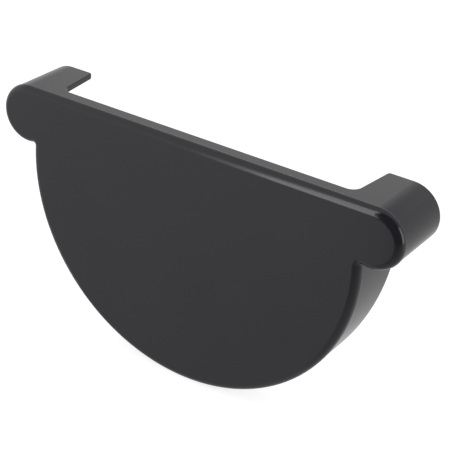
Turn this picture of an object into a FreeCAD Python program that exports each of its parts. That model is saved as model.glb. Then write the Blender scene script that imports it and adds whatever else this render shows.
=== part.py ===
import FreeCAD, Part
import math
import os
import Sketcher

# Driving dimensions in millimetres: alias, value, meaning
SIZES = (
    ("gutter_radius", 63.8, "outer radius of the half-round gutter that the cap closes"),
    ("bead_radius", 8.0, "radius of the rolled bead along each edge of the gutter"),
    ("bead_offset", 5.6, "from the gutter's outer wall out to the centre of a bead"),
    ("bead_rise", 14.2, "from the gutter's axis up to the centre of a bead"),
    ("fit_gap", 0.2, "clearance all round between the gutter and the cap"),
    ("wall", 2.2, "thickness of the skirt, the hooks and the top flange"),
    ("rim_step", 0.2, "how far the plate's rim stands proud of the walls"),
    ("plate_thickness", 2.8, "thickness of the front plate"),
    ("front_round", 2.6, "rounding of the plate's front edge"),
    ("least_flat", 0.2, "least straight edge left behind that rounding"),
    ("hook_depth", 22.6, "from the plate back to the rear end of the hooks"),
    ("skirt_bottom", 9.6, "from the plate back to the skirt's rear edge, at its lowest point"),
    ("flange_depth", 4.5, "from the plate back to the top flange's free edge"),
    ("lip_root", 11.0, "from a bead's centre in to the lip's free edge, at the flange"),
    ("lip_end", 9.1, "from a bead's centre in to the lip's free edge, at the rear"),
    ("crotch_round", 3.5, "concave round, in plan, where a lip leaves the flange"),
    ("corner_round", 1.0, "round, in plan, at a lip's rear corner"),
    ("heel_round", 8.0, "round, from the side, where the skirt's rear edge starts to slant"),
    ("nick_round", 0.4, "round in the outer nick between the bowl and a hook"),
    ("ridge_round", 1.2, "round of the inner ridge between the bowl and a hook"),
    ("edge_round", 0.3, "rounding of the walls' free edges, outside"),
    ("mouth_lead", 0.3, "lead-in chamfer of the walls' free edges, inside"),
)

# Lengths closer than this are taken as equal
TOLERANCE = 0.01

# Places and margins that follow from the driving dimensions
BEAD_REACH = "sizes.gutter_radius + sizes.bead_offset"
SOCKET_MARGIN = "sizes.fit_gap"
WALL_MARGIN = "sizes.fit_gap + sizes.wall"
PLATE_MARGIN = "sizes.fit_gap + sizes.wall + sizes.rim_step"
LIP_ROOT = BEAD_REACH + " - sizes.lip_root"
LIP_END = BEAD_REACH + " - sizes.lip_end"
RIM_ROUND_LIMIT = "sizes.plate_thickness - sizes.least_flat"

# Numbers that name the points of a line or an arc, and a sketch's own origin and upright axis
START, END, CENTRE = 1, 2, 3
ORIGIN, UPRIGHT = -1, -2


def make_sheet(doc):
    """Put the driving dimensions into a spreadsheet, one row each."""
    sheet = doc.addObject("Spreadsheet::Sheet", "sizes")
    for row, (alias, value, meaning) in enumerate(SIZES, start=1):
        sheet.set("A%d" % row, meaning)
        sheet.set("B%d" % row, str(value))
        sheet.setAlias("B%d" % row, alias)
    doc.recompute()
    return sheet


def plane_sketch(body, name, role):
    """Start a sketch on one of the body's origin planes."""
    sketch = body.newObject("Sketcher::SketchObject", name)
    plane = [item for item in body.Origin.OriginFeatures if item.Role == role][0]
    sketch.AttachmentSupport = [(plane, "")]
    sketch.MapMode = "FlatFace"
    return sketch


def bind(sketch, name, constraint, expression):
    """Add a named constraint whose value follows an expression of the sheet."""
    index = sketch.addConstraint(constraint)
    sketch.renameConstraint(index, name)
    sketch.setExpression("Constraints." + name, expression)


def place_point(sketch, name, line, point, across, along):
    """Fix a point of a line at a distance across and along from the sketch's origin, both expressions."""
    sheet = sketch.Document.sizes
    width = Sketcher.Constraint("DistanceX", ORIGIN, START, line, point, sheet.evalExpression(across))
    length = Sketcher.Constraint("DistanceY", ORIGIN, START, line, point, sheet.evalExpression(along))
    bind(sketch, name + "_across", width, across)
    bind(sketch, name + "_along", length, along)


def nick_angle(sheet, margin):
    """Angle, at the gutter's axis, of the point where the bowl's circle crosses the right bead's."""
    grow = sheet.evalExpression(margin)
    reach = sheet.evalExpression(BEAD_REACH)
    bowl_radius = sheet.gutter_radius + grow
    bead_radius = sheet.bead_radius + grow
    apart = math.hypot(reach, sheet.bead_rise)
    along = (apart**2 + bowl_radius**2 - bead_radius**2) / (2 * apart)
    return math.atan2(sheet.bead_rise, reach) - math.acos(along / bowl_radius)


def nick_place(sheet, margin):
    """Distance out and height of the point where the bowl's circle crosses the right bead's."""
    radius = sheet.gutter_radius + sheet.evalExpression(margin)
    angle = nick_angle(sheet, margin)
    return radius * math.cos(angle), radius * math.sin(angle)


def add_outline(sketch, name, sheet, margin):
    """Draw the gutter's end grown by a margin: a bowl, a round bead at each end, a straight top."""
    grow = sheet.evalExpression(margin)
    reach = sheet.evalExpression(BEAD_REACH)
    rise = sheet.bead_rise
    bowl_radius = sheet.gutter_radius + grow
    bead_radius = sheet.bead_radius + grow
    up = FreeCAD.Vector(0, 0, 1)
    right = FreeCAD.Vector(reach, rise, 0)
    left = FreeCAD.Vector(-reach, rise, 0)
    top_offset = FreeCAD.Vector(0, bead_radius, 0)

    bowl_circle = Part.Circle(FreeCAD.Vector(0, 0, 0), up, bowl_radius)
    right_circle = Part.Circle(right, up, bead_radius)
    left_circle = Part.Circle(left, up, bead_radius)
    nick = nick_angle(sheet, margin)
    nick_x, nick_z = nick_place(sheet, margin)
    turn = math.atan2(nick_z - rise, nick_x - reach)
    quarter = math.pi / 2

    top = sketch.addGeometry(Part.LineSegment(left + top_offset, right + top_offset))
    right_bead = sketch.addGeometry(Part.ArcOfCircle(right_circle, turn, quarter))
    bowl = sketch.addGeometry(Part.ArcOfCircle(bowl_circle, math.pi - nick, 2 * math.pi + nick))
    left_bead = sketch.addGeometry(Part.ArcOfCircle(left_circle, quarter, math.pi - turn))

    sketch.addConstraint(Sketcher.Constraint("Tangent", top, END, right_bead, END))
    sketch.addConstraint(Sketcher.Constraint("Tangent", top, START, left_bead, START))
    sketch.addConstraint(Sketcher.Constraint("Coincident", right_bead, START, bowl, END))
    sketch.addConstraint(Sketcher.Constraint("Coincident", left_bead, END, bowl, START))
    sketch.addConstraint(Sketcher.Constraint("Coincident", bowl, CENTRE, ORIGIN, START))
    sketch.addConstraint(Sketcher.Constraint("Symmetric", left_bead, CENTRE, right_bead, CENTRE, UPRIGHT))
    sketch.addConstraint(Sketcher.Constraint("Equal", left_bead, right_bead))
    place_point(sketch, name + "_bead", right_bead, CENTRE, BEAD_REACH, "sizes.bead_rise")
    bowl_size = Sketcher.Constraint("Radius", bowl, bowl_radius)
    bead_size = Sketcher.Constraint("Radius", right_bead, bead_radius)
    bind(sketch, name + "_bowl_radius", bowl_size, "sizes.gutter_radius + " + margin)
    bind(sketch, name + "_bead_radius", bead_size, "sizes.bead_radius + " + margin)


def add_polygon(sketch, points):
    """Draw a closed run of straight lines through the points and return the lines."""
    corners = [FreeCAD.Vector(across, along, 0) for across, along in points]
    lines = []
    for first, second in zip(corners, corners[1:] + corners[:1]):
        lines.append(sketch.addGeometry(Part.LineSegment(first, second)))
    for line, following in zip(lines, lines[1:] + lines[:1]):
        sketch.addConstraint(Sketcher.Constraint("Coincident", line, END, following, START))
    return lines


def edges_at(shape, x=None, y=None, z=None):
    """Names of the edges that lie wholly at a distance out, depth and height, on both sides alike."""
    names = []
    for number, edge in enumerate(shape.Edges, start=1):
        box = edge.BoundBox
        side = x if x is None or box.XMin > 0 else -x
        spans = ((box.XMin, box.XMax, side), (box.YMin, box.YMax, y), (box.ZMin, box.ZMax, z))
        gaps = [max(abs(low - at), abs(high - at)) for low, high, at in spans if at is not None]
        if max(gaps) < TOLERANCE:
            names.append("Edge%d" % number)
    return names


def dress_edges(body, kind, name, size, **place):
    """Fillet or chamfer the edges at a place of the body as it stands; tangent edges follow."""
    body.Document.recompute()
    base = body.Tip
    dressing = body.newObject("PartDesign::" + kind, name)
    dressing.Base = (base, edges_at(base.Shape, **place))
    dressing.setExpression("Radius" if kind == "Fillet" else "Size", size)


def round_edges(body, name, radius, **place):
    """Round the edges at a place of the body."""
    dress_edges(body, "Fillet", name, radius, **place)


def add_plate(body, sheet):
    """Front plate: the outline with its rim, from the gutter's end forward, its front edge rounded."""
    sketch = plane_sketch(body, "plate_outline", "XZ_Plane")
    add_outline(sketch, "plate", sheet, PLATE_MARGIN)
    plate = body.newObject("PartDesign::Pad", "plate")
    plate.Profile = sketch
    plate.setExpression("Length", "sizes.plate_thickness")
    nick_x, nick_z = nick_place(sheet, PLATE_MARGIN)
    round_edges(body, "plate_nicks", "sizes.nick_round", x=nick_x, z=nick_z)
    limited_round = "min(sizes.front_round; %s)" % RIM_ROUND_LIMIT
    round_edges(body, "plate_front", limited_round, y=-sheet.plate_thickness)


def add_walls(body, sheet):
    """Band of even thickness along the outline, from the plate back over the gutter's end."""
    sketch = plane_sketch(body, "wall_outline", "XZ_Plane")
    add_outline(sketch, "outside", sheet, WALL_MARGIN)
    add_outline(sketch, "inside", sheet, SOCKET_MARGIN)
    walls = body.newObject("PartDesign::Pad", "walls")
    walls.Profile = sketch
    walls.Reversed = True
    walls.setExpression("Length", "sizes.hook_depth")
    nick_x, nick_z = nick_place(sheet, WALL_MARGIN)
    round_edges(body, "wall_nicks", "sizes.nick_round", x=nick_x, z=nick_z)
    ridge_x, ridge_z = nick_place(sheet, SOCKET_MARGIN)
    round_edges(body, "wall_ridges", "sizes.ridge_round", x=ridge_x, z=ridge_z)


def open_top(body, sheet):
    """Cut the top away behind a narrow flange, so that each hook keeps a tapering lip over its bead."""
    root = sheet.evalExpression(LIP_ROOT)
    end = sheet.evalExpression(LIP_END)
    near = sheet.flange_depth
    far = sheet.hook_depth
    sketch = plane_sketch(body, "top_gap", "XY_Plane")
    corners = [(-root, near), (root, near), (end, far), (-end, far)]
    front, right, rear = add_polygon(sketch, corners)[:3]
    sketch.addConstraint(Sketcher.Constraint("Symmetric", front, START, front, END, UPRIGHT))
    sketch.addConstraint(Sketcher.Constraint("Symmetric", rear, START, rear, END, UPRIGHT))
    place_point(sketch, "root", right, START, LIP_ROOT, "sizes.flange_depth")
    place_point(sketch, "end", right, END, LIP_END, "sizes.hook_depth")
    gap = body.newObject("PartDesign::Pocket", "top_opening")
    gap.Profile = sketch
    gap.Type = "ThroughAll"
    gap.Reversed = True
    round_edges(body, "lip_crotches", "sizes.crotch_round", x=root, y=near)
    round_edges(body, "lip_corners", "sizes.corner_round", x=end, y=far)


def trim_skirt(body, sheet):
    """Cut the skirt's rear edge on a slant, forward and down from the height of the gutter's axis."""
    near = sheet.skirt_bottom
    far = sheet.hook_depth
    below = "-(sizes.gutter_radius + %s)" % PLATE_MARGIN
    low = sheet.evalExpression(below)
    sketch = plane_sketch(body, "skirt_side", "YZ_Plane")
    bottom, rear, slant = add_polygon(sketch, [(near, low), (far, low), (far, 0)])
    sketch.addConstraint(Sketcher.Constraint("Horizontal", bottom))
    sketch.addConstraint(Sketcher.Constraint("Vertical", rear))
    sketch.addConstraint(Sketcher.Constraint("PointOnObject", slant, START, ORIGIN))
    place_point(sketch, "skirt", bottom, START, "sizes.skirt_bottom", below)
    hook_length = Sketcher.Constraint("DistanceX", ORIGIN, START, slant, START, far)
    bind(sketch, "hook_across", hook_length, "sizes.hook_depth")
    trim = body.newObject("PartDesign::Pocket", "skirt_trim")
    trim.Profile = sketch
    trim.Type = "ThroughAll"
    trim.SideType = "Symmetric"
    round_edges(body, "hook_heels", "sizes.heel_round", y=far, z=0)


def soften(body, sheet):
    """Round the walls' free edges outside, and chamfer them inside to lead the gutter in."""
    inside_top = sheet.bead_rise + sheet.bead_radius + sheet.evalExpression(SOCKET_MARGIN)
    outside_top = sheet.bead_rise + sheet.bead_radius + sheet.evalExpression(WALL_MARGIN)
    round_edges(body, "outer_edges", "sizes.edge_round", y=sheet.flange_depth, z=outside_top)
    dress_edges(body, "Chamfer", "mouth_edges", "sizes.mouth_lead", y=sheet.flange_depth, z=inside_top)


def check(doc, body):
    """Stop if a feature failed, if a cut took nothing away, or if the cap isn't one valid solid."""
    for item in doc.Objects:
        if "Invalid" in item.State or "Error" in item.State:
            raise RuntimeError("%s failed: %s" % (item.Name, item.State))
    for item in body.Group:
        if item.isDerivedFrom("PartDesign::Feature") and (item.Shape.isNull() or not item.Shape.isValid()):
            raise RuntimeError("%s has no valid shape" % item.Name)
        if item.isDerivedFrom("PartDesign::Pocket") and item.Shape.Volume >= item.BaseFeature.Shape.Volume:
            raise RuntimeError("%s cuts nothing away" % item.Name)
    if body.Shape.isNull() or not body.Shape.isValid() or len(body.Shape.Solids) != 1:
        raise RuntimeError("the cap isn't one valid solid")


def main():
    """Build the cap, with the gutter's axis along Y and the gutter's end face at Y = 0, and write it."""
    doc = FreeCAD.newDocument("gutter_end_cap")
    sheet = make_sheet(doc)
    body = doc.addObject("PartDesign::Body", "end_cap")
    body.Label = "end_cap"
    body.Placement = FreeCAD.Placement()
    add_plate(body, sheet)
    add_walls(body, sheet)
    open_top(body, sheet)
    trim_skirt(body, sheet)
    soften(body, sheet)
    doc.recompute()
    check(doc, body)
    os.makedirs("parts", exist_ok=True)
    body.Shape.exportStep("parts/%s.step" % body.Label)


main()
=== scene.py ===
"""Looks of a half-round gutter end cap: black moulded PVC, shown on a white studio table."""

import logging
import math
from dataclasses import dataclass
from enum import Enum

import bpy
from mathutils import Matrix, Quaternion, Vector


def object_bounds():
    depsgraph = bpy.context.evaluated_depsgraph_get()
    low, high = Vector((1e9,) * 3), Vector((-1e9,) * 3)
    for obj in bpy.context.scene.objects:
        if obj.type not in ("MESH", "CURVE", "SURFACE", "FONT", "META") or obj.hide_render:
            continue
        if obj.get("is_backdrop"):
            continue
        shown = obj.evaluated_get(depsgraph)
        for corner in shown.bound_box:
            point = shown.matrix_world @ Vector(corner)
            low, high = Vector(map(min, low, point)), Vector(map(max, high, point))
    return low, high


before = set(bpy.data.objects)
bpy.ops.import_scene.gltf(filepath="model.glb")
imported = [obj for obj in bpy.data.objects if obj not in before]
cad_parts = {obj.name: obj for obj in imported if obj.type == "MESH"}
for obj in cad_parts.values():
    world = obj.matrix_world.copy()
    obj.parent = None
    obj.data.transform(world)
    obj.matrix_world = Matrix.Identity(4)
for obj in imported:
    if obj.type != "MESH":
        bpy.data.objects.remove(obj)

LOG = logging.getLogger("end_cap")

# Blender counts in metres
MM = 0.001
WHITE_HEX = "#ffffff"
SMOOTH = "SMOOTHSTEP"

# The curve between sRGB and linear light: straight up to the knee, then a power
SRGB_KNEE = 0.04045
SRGB_SLOPE = 12.92
SRGB_OFFSET = 0.055
SRGB_POWER = 2.4

Rgba = tuple[float, float, float, float]
Triple = tuple[float, float, float]
Span = tuple[float, float]


class Axis(Enum):
    """Axes of the shared frame, as the nodes name them."""

    ACROSS = "X"
    DEEP = "Y"
    UP = "Z"


class Ray(Enum):
    """Kinds of ray that the stage answers differently."""

    CAMERA = "Is Camera Ray"
    GLOSSY = "Is Glossy Ray"


def linear(hex_colour: str) -> Rgba:
    """Turn an sRGB hex colour into linear light.

    Args:
        hex_colour: Six hex digits after a hash sign.

    Returns:
        Red, green, blue and alpha, as a shader socket takes them.
    """
    channels = [int(hex_colour[i : i + 2], 16) / 255 for i in (1, 3, 5)]
    red, green, blue = (
        channel / SRGB_SLOPE
        if channel <= SRGB_KNEE
        else ((channel + SRGB_OFFSET) / (1 + SRGB_OFFSET)) ** SRGB_POWER
        for channel in channels
    )
    return (red, green, blue, 1.0)


def empty_tree(owner: bpy.types.Material | bpy.types.World) -> bpy.types.NodeTree:
    """Turn on nodes for a material or the world, without the nodes that come along.

    Args:
        owner: The new material or world.

    Returns:
        Its node tree, empty.
    """
    owner.use_nodes = True
    owner.node_tree.nodes.clear()
    return owner.node_tree


def add_node(
    tree: bpy.types.NodeTree,
    kind: str,
    inputs: dict[str, object] | tuple[object, ...] = (),
    **settings: object,
) -> bpy.types.Node:
    """Add a shader node, with its settings and what feeds it.

    Args:
        tree: Node tree of a material or of the world.
        kind: Node type, without its ShaderNode prefix.
        inputs: Values, or output sockets to link, by the inputs' names or in their order.
        **settings: Properties of the node.

    Returns:
        The new node.
    """
    node = tree.nodes.new("ShaderNode" + kind)
    for name, value in settings.items():
        setattr(node, name, value)
    for key, value in inputs.items() if isinstance(inputs, dict) else enumerate(inputs):
        if isinstance(value, bpy.types.NodeSocket):
            tree.links.new(value, node.inputs[key])
        else:
            node.inputs[key].default_value = value
    return node


@dataclass(frozen=True)
class Pattern:
    """Random pattern in a finish: the size of its spots, its finer layers and its relief."""

    size_mm: float
    layers: float
    relief_mm: float = 0.0

    def scale(self) -> float:
        """Texture scale that gives the spots their size."""
        return 1 / (self.size_mm * MM)


@dataclass(frozen=True)
class MouldedPvc:
    """Rigid PVC, coloured black through and injection moulded in a polished mould.

    The eye sees a near-black body under a clear gloss: the pale surroundings mirror softly
    in it, more so at a slant. Melt that cooled unevenly leaves faint cloudy tones and a
    slight ripple.
    """

    name: str = "moulded_black_pvc"
    body_hex: str = "#1a181e"
    cloud_hex: str = "#211f26"
    ior: float = 1.54
    roughness: Span = (0.12, 0.19)
    # Cloud times grain, from where the gloss is clearest to where it is dullest
    mottle: Span = (0.12, 0.4)
    cloud: Pattern = Pattern(size_mm=28.0, layers=3.0)
    ripple: Pattern = Pattern(size_mm=5.0, layers=1.0, relief_mm=0.008)
    # Real mould texture is under 0.2 mm; it is drawn coarser, or no pixel would show it
    grain: Pattern = Pattern(size_mm=0.7, layers=2.0, relief_mm=0.0015)
    # Sharp corners of a mould come out very slightly rounded
    edge_mm: float = 0.4
    edge_samples: int = 8

    def material(self) -> bpy.types.Material:
        """Make the material.

        Returns:
            A node material that reads object coordinates.
        """
        material = bpy.data.materials.new(self.name)
        tree = empty_tree(material)
        place = add_node(tree, "TexCoord").outputs["Object"]
        cloud, ripple, grain = (
            add_node(
                tree,
                "TexNoise",
                {"Vector": place, "Scale": pattern.scale(), "Detail": pattern.layers},
            ).outputs["Fac"]
            for pattern in (self.cloud, self.ripple, self.grain)
        )
        colour = add_node(
            tree,
            "Mix",
            {"Factor": cloud, "A": linear(self.body_hex), "B": linear(self.cloud_hex)},
            data_type="RGBA",
        ).outputs["Result"]
        mottle = add_node(tree, "Math", (cloud, grain), operation="MULTIPLY").outputs["Value"]
        gloss = add_node(
            tree, "MapRange", (mottle, *self.mottle, *self.roughness)
        ).outputs["Result"]
        normal = add_node(
            tree, "Bevel", {"Radius": self.edge_mm * MM}, samples=self.edge_samples
        ).outputs["Normal"]
        for height, pattern in ((ripple, self.ripple), (grain, self.grain)):
            normal = add_node(
                tree,
                "Bump",
                {"Height": height, "Distance": pattern.relief_mm * MM, "Normal": normal},
            ).outputs["Normal"]
        plastic = add_node(
            tree,
            "BsdfPrincipled",
            {"Base Color": colour, "Roughness": gloss, "IOR": self.ior, "Normal": normal},
        )
        add_node(tree, "OutputMaterial", {"Surface": plastic.outputs["BSDF"]})
        return material


@dataclass(frozen=True)
class EndCap:
    """The one moulded piece: plate, skirt, hooks, lips and flange."""

    node: str = "end_cap"
    finish: MouldedPvc = MouldedPvc()

    def dress(self, nodes: dict[str, bpy.types.Object]) -> bpy.types.Object:
        """Give the solid its finish.

        Args:
            nodes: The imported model's objects by name.

        Returns:
            The dressed object.
        """
        cap = nodes[self.node]
        material = self.finish.material()
        for slot in cap.material_slots:
            slot.material = material
        return cap


@dataclass(frozen=True)
class Fade:
    """Change to another brightness along an axis."""

    axis: Axis
    begins: float
    ends: float
    level: float


@dataclass(frozen=True)
class Surroundings:
    """White walls round the table, a darker ceiling, and a dark opening behind the camera.

    Only reflections see them. A brightness of 1 is white, and a place where something begins
    or ends is a part of a direction of length 1.
    """

    name: str = "studio_walls"
    camera_white: float = 1.0
    soft_light: float = 0.65
    back_wall: float = 1.05
    left_wall: Fade = Fade(Axis.ACROSS, begins=-0.5, ends=-0.65, level=0.82)
    right_wall: Fade = Fade(Axis.ACROSS, begins=-0.1, ends=0.5, level=0.7)
    front_wall: Fade = Fade(Axis.DEEP, begins=0.0, ends=-0.6, level=0.86)
    back_ceiling: float = 0.62
    front_ceiling: Fade = Fade(Axis.DEEP, begins=0.3, ends=-0.3, level=0.76)
    ceiling_rise: Span = (0.46, 0.6)
    opening_towards: Triple = (0.5, -0.78, 0.37)
    opening_rim: Span = (0.46, 0.62)
    # Share of the walls' light, outside the opening and in it
    opening_share: Span = (1.0, 0.1)

    def build(self) -> bpy.types.World:
        """Make the world.

        Returns:
            A world that is white to the camera and walled to reflections.
        """
        world = bpy.data.worlds.new(self.name)
        tree = empty_tree(world)
        ray = add_node(tree, "LightPath").outputs
        direction = add_node(tree, "TexCoord").outputs["Generated"]
        axes = add_node(tree, "SeparateXYZ", (direction,)).outputs
        wall = self.back_wall
        for fade in (self.left_wall, self.right_wall, self.front_wall):
            wall = add_node(
                tree,
                "MapRange",
                (axes[fade.axis.value], fade.begins, fade.ends, wall, fade.level),
                interpolation_type=SMOOTH,
            ).outputs["Result"]
        front = self.front_ceiling
        ceiling = add_node(
            tree,
            "MapRange",
            (axes[front.axis.value], front.begins, front.ends, self.back_ceiling, front.level),
            interpolation_type=SMOOTH,
        ).outputs["Result"]
        room = add_node(
            tree,
            "MapRange",
            (axes[Axis.UP.value], *self.ceiling_rise, wall, ceiling),
            interpolation_type=SMOOTH,
        ).outputs["Result"]
        facing = add_node(
            tree,
            "VectorMath",
            (direction, Vector(self.opening_towards).normalized()),
            operation="DOT_PRODUCT",
        ).outputs["Value"]
        share = add_node(
            tree,
            "MapRange",
            (facing, *self.opening_rim, *self.opening_share),
            interpolation_type=SMOOTH,
        ).outputs["Result"]
        mirrored = add_node(tree, "Math", (room, share), operation="MULTIPLY").outputs["Value"]
        unseen = add_node(
            tree,
            "Mix",
            {"Factor": ray[Ray.GLOSSY.value], "A": self.soft_light, "B": mirrored},
        ).outputs["Result"]
        strength = add_node(
            tree,
            "Mix",
            {"Factor": ray[Ray.CAMERA.value], "A": unseen, "B": self.camera_white},
        ).outputs["Result"]
        glow = add_node(tree, "Background", {"Color": linear(WHITE_HEX), "Strength": strength})
        add_node(tree, "OutputWorld", {"Surface": glow.outputs["Background"]})
        bpy.context.scene.world = world
        return world


@dataclass(frozen=True)
class DarkEdge:
    """Soft edge of the painted dark in the table's glow, which runs to the left as it comes
    forward.

    Its ends are places across the table beside the plate, and its slant is how far it runs
    to the left for each millimetre forward.
    """

    begins_mm: float
    ends_mm: float
    slant: float


@dataclass(frozen=True)
class Table:
    """White paper under the cap, which keeps its shadow.

    The camera sees the paper's own colour and its even glow. Reflections see a painted glow
    instead, where a brightness of 1 is white: dimmed beside the cap as painted shade, and
    painted dark at the right front.
    """

    name: str = "table_paper"
    size_m: float = 6.0
    paper_hex: str = "#b4b4b4"
    glow: float = 0.79
    # Painted glow that reflections see, beside the cap and far in front of it: the paper,
    # dimmed beside the cap as painted shade, and the painted dark at the right front
    glow_with_painted_shade: Span = (0.52, 0.73)
    painted_dark: Span = (0.5, 0.08)
    front_y_mm: Span = (0.0, -200.0)
    # Edges of the painted dark that reflections see at the right front
    dark_edges: tuple[DarkEdge, ...] = (
        DarkEdge(begins_mm=49.5, ends_mm=61.0, slant=0.25),
        DarkEdge(begins_mm=78.5, ends_mm=90.0, slant=0.5),
    )
    back: float = 0.71
    back_y_mm: Span = (0.0, 36.0)

    def build(self, height: float) -> bpy.types.Object:
        """Lay the paper.

        Args:
            height: Height of the paper, in metres.

        Returns:
            The paper, marked as part of the stage.
        """
        bpy.ops.object.select_all(action="DESELECT")
        bpy.ops.mesh.primitive_plane_add(size=self.size_m, location=(0, 0, height))
        paper = bpy.context.object
        paper.name = self.name
        paper.data.materials.append(self.material())
        paper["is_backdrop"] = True
        return paper

    def material(self) -> bpy.types.Material:
        """Make the paper's material.

        Returns:
            White to the camera but for the shadow, and graded to reflections.
        """
        material = bpy.data.materials.new(self.name)
        tree = empty_tree(material)
        ray = add_node(tree, "LightPath").outputs
        place = add_node(tree, "TexCoord").outputs["Object"]
        depth = add_node(tree, "SeparateXYZ", (place,)).outputs[Axis.DEEP.value]
        front_y = [y * MM for y in self.front_y_mm]
        back_y = [y * MM for y in self.back_y_mm]
        # Painted glow for reflections: the paper dimmed beside the cap as painted shade, and the
        # painted dark
        mirrored, painted_dark = (
            add_node(tree, "MapRange", (depth, *front_y, *levels)).outputs["Result"]
            for levels in (self.glow_with_painted_shade, self.painted_dark)
        )
        # Blend into the painted dark across its soft edges
        for edge in self.dark_edges:
            aside = add_node(
                tree, "VectorMath", (place, (1.0, -edge.slant, 0.0)), operation="DOT_PRODUCT"
            ).outputs["Value"]
            mirrored = add_node(
                tree,
                "MapRange",
                (aside, edge.begins_mm * MM, edge.ends_mm * MM, mirrored, painted_dark),
                interpolation_type=SMOOTH,
            ).outputs["Result"]
        mirrored = add_node(
            tree,
            "MapRange",
            (depth, *back_y, mirrored, self.back),
            interpolation_type=SMOOTH,
        ).outputs["Result"]
        # The first is the painted glow that reflections see, the second the even glow the camera
        # sees
        painted_glow, glow = (
            add_node(tree, "Emission", {"Strength": strength}).outputs["Emission"]
            for strength in (mirrored, self.glow)
        )
        sheet = add_node(tree, "BsdfDiffuse", {"Color": linear(self.paper_hex)}).outputs["BSDF"]
        seen = add_node(tree, "AddShader", (sheet, glow)).outputs["Shader"]
        surface = add_node(tree, "MixShader", (ray[Ray.CAMERA.value], painted_glow, seen))
        add_node(tree, "OutputMaterial", {"Surface": surface.outputs["Shader"]})
        return material


@dataclass(frozen=True)
class Softbox:
    """Soft lamp that stands upright, mirrored as a strip in the plate's rounded edge."""

    name: str
    place_mm: Triple
    size_mm: Span
    radiance: float
    lean_deg: float = 0.0
    turn_deg: float = 0.0
    upright_deg: float = 90.0

    def build(self) -> bpy.types.Object:
        """Set up the lamp.

        Returns:
            The lamp, which the camera doesn't see.
        """
        width, height = (side * MM for side in self.size_mm)
        lamp = bpy.data.lights.new(self.name, "AREA")
        lamp.shape = "RECTANGLE"
        lamp.size = width
        lamp.size_y = height
        # The power at which a soft lamp of this size has that radiance
        lamp.energy = self.radiance * math.pi * width * height
        stand = bpy.data.objects.new(self.name, lamp)
        stand.location = Vector(self.place_mm) * MM
        angles_deg = (self.upright_deg, self.lean_deg, self.turn_deg)
        stand.rotation_euler = [math.radians(angle) for angle in angles_deg]
        stand.visible_camera = False
        bpy.context.scene.collection.objects.link(stand)
        return stand


SOFTBOXES = (
    Softbox(
        name="left_softbox",
        place_mm=(-81.5, -270.0, 246.0),
        size_mm=(87.0, 587.0),
        radiance=2.9,
        lean_deg=-1.5,
    ),
    Softbox(
        name="left_fill",
        place_mm=(-147.0, -270.0, 246.0),
        size_mm=(32.0, 587.0),
        radiance=0.75,
        lean_deg=-4.0,
    ),
    Softbox(
        name="right_softbox",
        place_mm=(420.0, 32.0, 90.0),
        size_mm=(155.0, 300.0),
        radiance=2.0,
        turn_deg=90.0,
    ),
)


@dataclass(frozen=True)
class PhotoCamera:
    """Camera at the photograph's viewing angle."""

    name: str = "photo_camera"
    azimuth_deg: float = 33.136
    elevation_deg: float = 28.817
    roll_deg: float = 3.268
    aim_mm: Triple = (4.995, 15.225, -11.254)
    distance_mm: float = 485.56
    lens_mm: float = 113.043
    sensor_mm: float = 36.0

    def place(self) -> bpy.types.Object:
        """Put the camera in the scene.

        Returns:
            The scene's camera.
        """
        lens = bpy.data.cameras.new(self.name)
        lens.sensor_width = self.sensor_mm
        lens.lens = self.lens_mm
        camera = bpy.data.objects.new(self.name, lens)
        azimuth = math.radians(self.azimuth_deg)
        elevation = math.radians(self.elevation_deg)
        back = Vector(
            (
                math.sin(azimuth) * math.cos(elevation),
                -math.cos(azimuth) * math.cos(elevation),
                math.sin(elevation),
            )
        )
        roll = Quaternion((0, 0, 1), math.radians(self.roll_deg))
        camera.rotation_mode = "QUATERNION"
        camera.rotation_quaternion = back.to_track_quat("Z", "Y") @ roll
        camera.location = (Vector(self.aim_mm) + back * self.distance_mm) * MM
        bpy.context.scene.collection.objects.link(camera)
        bpy.context.scene.camera = camera
        return camera


def main() -> None:
    """Dress the cap, then build the stage and the camera round it."""
    logging.basicConfig(level=logging.INFO, format="%(name)s: %(message)s")
    cad_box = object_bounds()
    cap = EndCap().dress(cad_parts)
    LOG.info("dressed %s", cap.name)
    bpy.context.scene.view_settings.view_transform = "Standard"
    LOG.info("walls %s", Surroundings().build().name)
    LOG.info("floor %s", Table().build(cad_box[0].z).name)
    for softbox in SOFTBOXES:
        LOG.info("lamp %s", softbox.build().name)
    LOG.info("camera %s", PhotoCamera().place().name)


if __name__ == "__main__":
    main()
